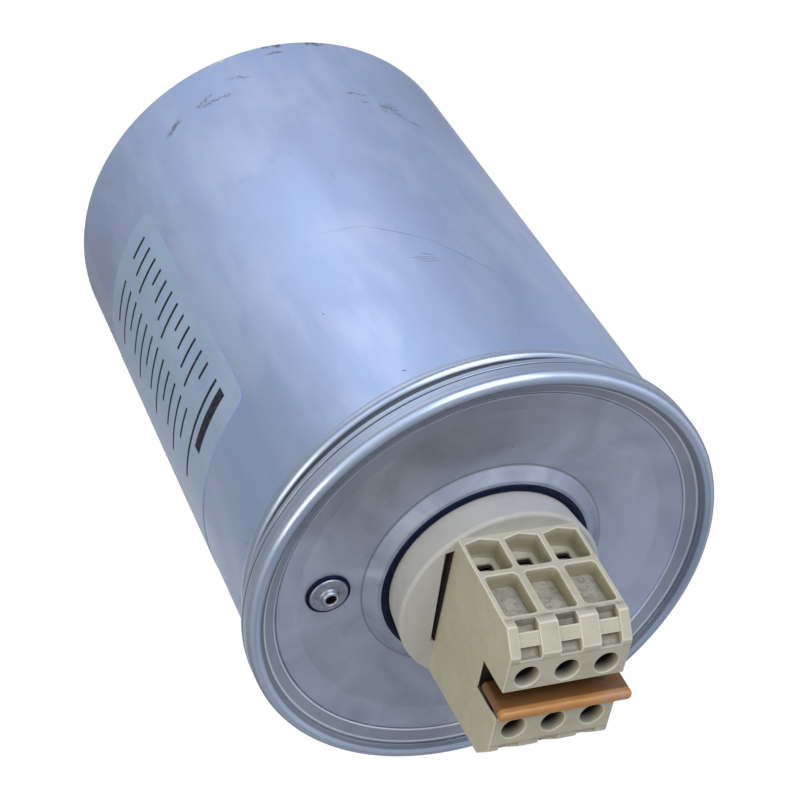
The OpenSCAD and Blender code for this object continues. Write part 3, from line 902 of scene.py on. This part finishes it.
def label_pieces(film, ink):
    """Label with rounded corners and plain bars."""
    z0 = LABEL_LOW.z
    z1 = LABEL_HIGH.z
    arc = math.radians(1) * WALL_R
    bm = bmesh.new()
    columns = []
    for k in range(LABEL_COLUMNS + 1):
        share = 0.5 - 0.5 * math.cos(math.pi * k / LABEL_COLUMNS)
        angle = LABEL_FROM + LABEL_WRAP * share
        into = min(share, 1 - share) * LABEL_WRAP * arc
        lack = max(0.0, LABEL_CORNER - into)
        inset = LABEL_CORNER - math.sqrt(LABEL_CORNER ** 2 - lack ** 2)
        columns.append((angle, z0 + inset, z1 - inset))
    skin(bm, WALL_R + LABEL_LIFT, WALL_R + LABEL_T, columns)
    bmesh.ops.recalc_face_normals(bm, faces=bm.faces)
    dressed("label_film", bm, film, ("rating_label",))

    bm = bmesh.new()
    for top, tall, start, run in LABEL_BARS:
        steps = max(2, int(run / 2))
        bar = [(LABEL_FROM + start + run * k / steps, z1 - top - tall, z1 - top) for k in range(steps + 1)]
        skin(bm, WALL_R + LABEL_T - LABEL_LIFT, WALL_R + LABEL_T + INK_T, bar)
    bmesh.ops.recalc_face_normals(bm, faces=bm.faces)
    dressed("label_bars", bm, ink)


def scuff_piece(material):
    """Dark scratches: slim slips on the wall that taper at both ends."""
    inner = WALL_R - SCUFF_T
    outer = WALL_R + SCUFF_T
    corners = ((inner, -1), (outer, -1), (outer, 1), (inner, 1))
    bm = bmesh.new()
    for angle, height, length, turn, width in SCUFFS:
        rows = []
        for k in range(SCUFF_STEPS + 1):
            t = k / SCUFF_STEPS
            half = width / 2 * (SCUFF_TIP + (1 - SCUFF_TIP) * math.sin(math.pi * t))
            spread = math.degrees(half / WALL_R)
            rows.append([on_wall(bm, r, angle + turn * t + side * spread, height + length * t)
                         for r, side in corners])
        tube(bm, rows)
    bmesh.ops.recalc_face_normals(bm, faces=bm.faces)
    return dressed("can_scuffs", bm, material)


def resistor_piece(material):
    """Dipped plate: a box with fully rounded edges and a slightly uneven skin."""
    cuts = 39
    lump = 0.06
    lump_scale = 0.35
    round_share = 0.92
    bm = bmesh.new()
    bmesh.ops.create_cube(bm, size=2)
    bmesh.ops.subdivide_edges(bm, edges=bm.edges, cuts=cuts, use_grid_fill=True)
    centre = (PLATE_LOW + PLATE_HIGH) / 2
    half = (PLATE_HIGH - PLATE_LOW) / 2 - Vector((lump, lump, lump))
    edge = half.y * round_share
    for vert in bm.verts:
        spot = Vector(math.sin(u * math.pi / 2) * h for u, h in zip(vert.co, half))
        core = Vector(max(edge - h, min(h - edge, u)) for u, h in zip(spot, half))
        out = (spot - core).normalized()
        uneven = lump * noise.noise(spot * lump_scale)
        vert.co = centre + core + out * (edge + uneven)
    bmesh.ops.recalc_face_normals(bm, faces=bm.faces)
    return dressed("resistor_body", bm, material, ("resistor_plate",), sharp=80)


def paint_node(node, material):
    """Gives a CAD node that stays visible its finish."""
    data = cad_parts[node].data
    data.materials.clear()
    data.materials.append(material)


# Stage, light and camera

def floor_glow(n):
    """Strength of the floor's white: even for the camera, pools of light for shiny surfaces."""
    place = n.node("ShaderNodeTexCoord").outputs["Object"]
    level = FLOOR_DIM
    for bearing, distance, reach, strength in FLOOR_POOLS:
        turn = math.radians(bearing)
        centre = (distance * MM * math.cos(turn), distance * MM * math.sin(turn), FLOOR_Z * MM)
        away = n.vector_maths("DISTANCE", place, centre)["Value"]
        pool = n.span(away, 0.0, reach * MM, strength, 0.0, "SMOOTHSTEP")
        level = n.maths("ADD", pool, level)
    return n.span(n.rays("Camera"), 0.0, 1.0, level, FLOOR_GLOW)


def make_floor():
    """White floor just under the stud's tip. It shows white but still takes a soft shadow."""
    half = FLOOR_SIZE / 2 * MM
    bm = bmesh.new()
    corners = ((-half, -half), (half, -half), (half, half), (-half, half))
    bm.faces.new([bm.verts.new((x, y, FLOOR_Z * MM)) for x, y in corners])
    data = bpy.data.meshes.new("floor")
    bm.to_mesh(data)
    bm.free()
    material = bpy.data.materials.new("floor_white")
    material.use_nodes = True
    n = Nodes(material.node_tree)
    n.tree.nodes.remove(n.tree.nodes["Principled BSDF"])
    matt = n.node("ShaderNodeBsdfDiffuse", Color=colour(*FLOOR_WHITE))
    glow = n.node("ShaderNodeEmission", Strength=floor_glow(n))
    mix = n.node("ShaderNodeMixShader")
    n.put(mix.inputs[0], n.maths("MULTIPLY", n.white_rays(), FLOOR_SHARE))
    n.put(mix.inputs[1], matt.outputs[0])
    n.put(mix.inputs[2], glow.outputs[0])
    n.put(n.tree.nodes["Material Output"].inputs["Surface"], mix.outputs[0])
    data.materials.append(material)
    floor = bpy.data.objects.new("floor", data)
    bpy.context.collection.objects.link(floor)


def make_world():
    """Even soft light all round. The camera sees it white, and shiny surfaces see it graded."""
    world = bpy.data.worlds.new("studio")
    world.use_nodes = True
    n = Nodes(world.node_tree)
    sky = n.tree.nodes["Background"]
    sky.inputs["Color"].default_value = colour(1, 1, 1)
    generated = n.node("ShaderNodeTexCoord").outputs["Generated"]
    where = n.node("ShaderNodeSeparateXYZ", Vector=generated).outputs
    mirror = n.span(where["Y"], *MIRROR_Y, MIRROR_FAR, MIRROR_NEAR, "SMOOTHSTEP")
    overhead = n.span(where["Z"], *MIRROR_Z, MIRROR_LOW, MIRROR_OVERHEAD, "SMOOTHSTEP")
    graded = n.maths("MULTIPLY", mirror, overhead)
    level = n.span(n.white_rays(), 0.0, 1.0, AMBIENT, graded)
    n.put(sky.inputs["Strength"], n.span(n.rays("Camera"), 0.0, 1.0, level, 1.0))
    bpy.context.scene.world = world


def area_light(name, place, aim, size, power, tint):
    """Soft square light at a place in millimetres that faces a point."""
    data = bpy.data.lights.new(name, "AREA")
    data.size = size * MM
    data.energy = power
    data.color = tint
    lamp = bpy.data.objects.new(name, data)
    lamp.location = Vector(place) * MM
    lamp.rotation_euler = (Vector(place) - Vector(aim)).to_track_quat("Z", "Y").to_euler()
    bpy.context.collection.objects.link(lamp)


def make_camera():
    """Camera at the photograph's angle."""
    rise = math.radians(CAMERA_RISE)
    bearing = math.radians(CAMERA_BEARING)
    flat = math.cos(rise)
    back = Vector((flat * math.cos(bearing), flat * math.sin(bearing), math.sin(rise)))
    place = (Vector(CAMERA_TARGET) + back * CAMERA_DISTANCE) * MM
    data = bpy.data.cameras.new("camera")
    data.sensor_width = SENSOR
    data.lens = SENSOR * FOCAL_PX / IMAGE_PX
    data.clip_start = CLIP_START
    camera = bpy.data.objects.new("camera", data)
    turn = back.to_track_quat("Z", "Y").to_matrix().to_4x4()
    roll = Matrix.Rotation(math.radians(CAMERA_ROLL), 4, "Z")
    camera.matrix_world = Matrix.Translation(place) @ turn @ roll
    bpy.context.collection.objects.link(camera)
    bpy.context.scene.camera = camera


can_metal = can_finish()
rubber = rubber_finish()
block_plastic = plastic_finish(
    "block_plastic", colour(0.52, 0.515, 0.44), colour(0.47, 0.46, 0.37), colour(0.22, 0.20, 0.17),
    block_zones)
# Paler plastic on the eased edges: a painted highlight along them, and pale wear
edge_highlight_plastic = plastic_finish(
    "block_edge_highlights", colour(0.66, 0.66, 0.60), colour(0.61, 0.605, 0.53), colour(0.38, 0.36, 0.31),
    block_zones)
collar_plastic = plastic_finish(
    "collar_plastic", colour(0.52, 0.535, 0.555), colour(0.47, 0.48, 0.49), colour(0.30, 0.30, 0.30),
    collar_zones)
# Clamp steel: the pale half of its patches are painted glints
steel = metal_finish(
    "clamp_steel", colour(0.32, 0.32, 0.34), colour(0.90, 0.90, 0.93), 0.3,
    stain_and_glint_range=(0.42, 0.54), metallic=0.6)
brass = metal_finish("bar_brass", colour(0.46, 0.30, 0.14), colour(0.62, 0.42, 0.22), 0.35)

can_piece(can_metal)
stud_thread(can_metal)
lid_piece(lid_finish())
gasket_piece(rubber)
rivet_pieces(rivet_finish(), rubber)
label_pieces(film_finish(), ink_finish())
scuff_piece(scuff_finish())
paint_node("terminal_collar", collar_plastic)
eased("terminal_block", "block_body", block_plastic, edge_highlight_plastic, BLOCK_ROUND)
resistor_piece(resistor_finish())

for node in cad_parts:
    if node.startswith(("clamp", "resistor_pin")):
        paint_node(node, steel)
    elif node.startswith("phase_bar"):
        paint_node(node, brass)

make_floor()
make_world()
area_light("key", *KEY)
area_light("fill", *FILL)
make_camera()
bpy.context.scene.view_settings.view_transform = "Standard"
